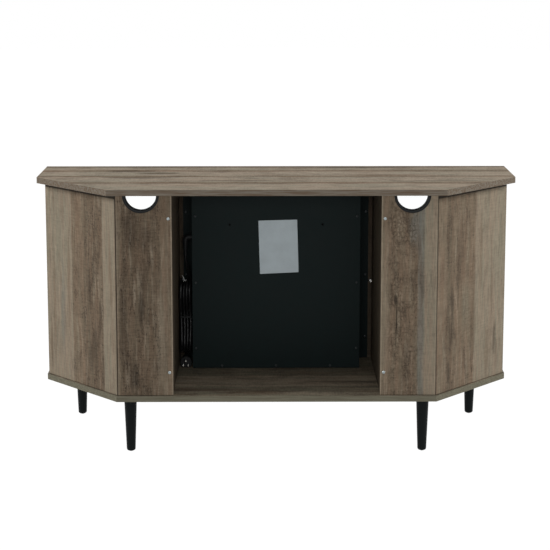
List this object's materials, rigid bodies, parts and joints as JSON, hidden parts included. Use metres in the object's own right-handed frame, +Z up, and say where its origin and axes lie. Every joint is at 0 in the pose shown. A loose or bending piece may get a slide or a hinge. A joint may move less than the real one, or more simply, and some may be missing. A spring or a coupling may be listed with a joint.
{
  "type": "fireplace tv stand",
  "caption": "Corner tv stand with cut rear corners, tapered legs, glass-door bays and cable notches, and an electric fireplace insert with its tied power cord in the open-backed centre bay.",
  "frame": {"origin": "centre of the bounding box of the closed stand, on the floor", "axes": "+X to the right seen from the front, -Y to the front with the doors and the fire, +Y to the open back, +Z up"},
  "size_m": [1.219, 0.3994, 0.671],
  "materials": {
    "wood": "printed oak grain on board, low sheen",
    "wood_top": "printed oak grain on board, low sheen",
    "black_paint": "black powder coat, satin",
    "black_plastic": "black moulded plastic, satin",
    "cord_rubber": "black cord sheath",
    "steel": "zinc and brushed steel",
    "glass": "clear glass",
    "smoked_screen": "smoked sheet",
    "log": "moulded resin bark",
    "ember": "moulded resin embers",
    "circuit": "green circuit board",
    "ceramic": "unglazed heater ceramic"
  },
  "bodies": {
    "stand": {"blower_housing": "black_paint", "bottom_panel": "wood", "control_board": "circuit", "cord_boot": "cord_rubber", "cord_hank": "cord_rubber", "cord_lead": "cord_rubber", "cord_tail": "cord_rubber", "cord_tie": "black_plastic", "ember_bed": "ember", "flame_screen": "smoked_screen", "front_bottom_rail": "wood", "front_left_leg": "black_paint", "front_right_leg": "black_paint", "front_top_rail": "wood", "heater_element": "ceramic", "insert_back_cover": "black_paint", "insert_casing": "black_paint", "insert_front_frame": "black_plastic", "insert_glass": "glass", "left_back_panel": "wood", "left_cable_ring": "black_plastic", "left_corner_panel": "wood", "left_divider": "wood", "left_door_catch": "black_plastic", "left_inner_stile": "wood", "left_lower_hinge": "steel", "left_outer_stile": "wood", "left_shelf": "wood", "left_side_panel": "wood", "left_upper_hinge": "steel", "log_set": "log", "power_plug": "black_plastic", "rear_left_leg": "black_paint", "rear_right_leg": "black_paint", "right_back_panel": "wood", "right_cable_ring": "black_plastic", "right_corner_panel": "wood", "right_divider": "wood", "right_door_catch": "black_plastic", "right_inner_stile": "wood", "right_lower_hinge": "steel", "right_outer_stile": "wood", "right_shelf": "wood", "right_side_panel": "wood", "right_upper_hinge": "steel", "rotor_motor": "steel", "top_panel": "wood_top"},
    "left_door": {"left_door_frame": "wood", "left_door_glass": "glass", "left_door_knob": "steel"},
    "right_door": {"right_door_frame": "wood", "right_door_glass": "glass", "right_door_knob": "steel"},
    "power_push": {"power_button": "black_plastic"},
    "heat_push": {"heat_button": "black_plastic"},
    "flame_push": {"flame_button": "black_plastic"},
    "flame_spindle": {"flame_rotor": "steel"},
    "blower": {"blower_wheel": "steel"}
  },
  "joints": [
    {"name": "left_door_hinge", "type": "hinge", "parent": "stand", "child": "left_door", "pos_m": [-0.5494, -0.18115, 0.4035], "axis": [0, 0, -1], "range_deg": [0, 170]},
    {"name": "right_door_hinge", "type": "hinge", "parent": "stand", "child": "right_door", "pos_m": [0.5494, -0.18115, 0.4035], "axis": [0, 0, 1], "range_deg": [0, 170]},
    {"name": "power_press", "type": "slide", "parent": "stand", "child": "power_push", "axis": [0, 1, 0], "range_m": [0, 0.0015], "stiffness_N_per_m": 400, "springref_m": -0.001},
    {"name": "heat_press", "type": "slide", "parent": "stand", "child": "heat_push", "axis": [0, 1, 0], "range_m": [0, 0.0015], "stiffness_N_per_m": 400, "springref_m": -0.001},
    {"name": "flame_press", "type": "slide", "parent": "stand", "child": "flame_push", "axis": [0, 1, 0], "range_m": [0, 0.0015], "stiffness_N_per_m": 400, "springref_m": -0.001},
    {"name": "flame_spindle_turn", "type": "hinge", "parent": "stand", "child": "flame_spindle", "pos_m": [0, -0.07805, 0.2145], "axis": [1, 0, 0], "continuous": true},
    {"name": "blower_turn", "type": "hinge", "parent": "stand", "child": "blower", "pos_m": [-0.055, -0.09205, 0.5875], "axis": [1, 0, 0], "continuous": true}
  ]
}
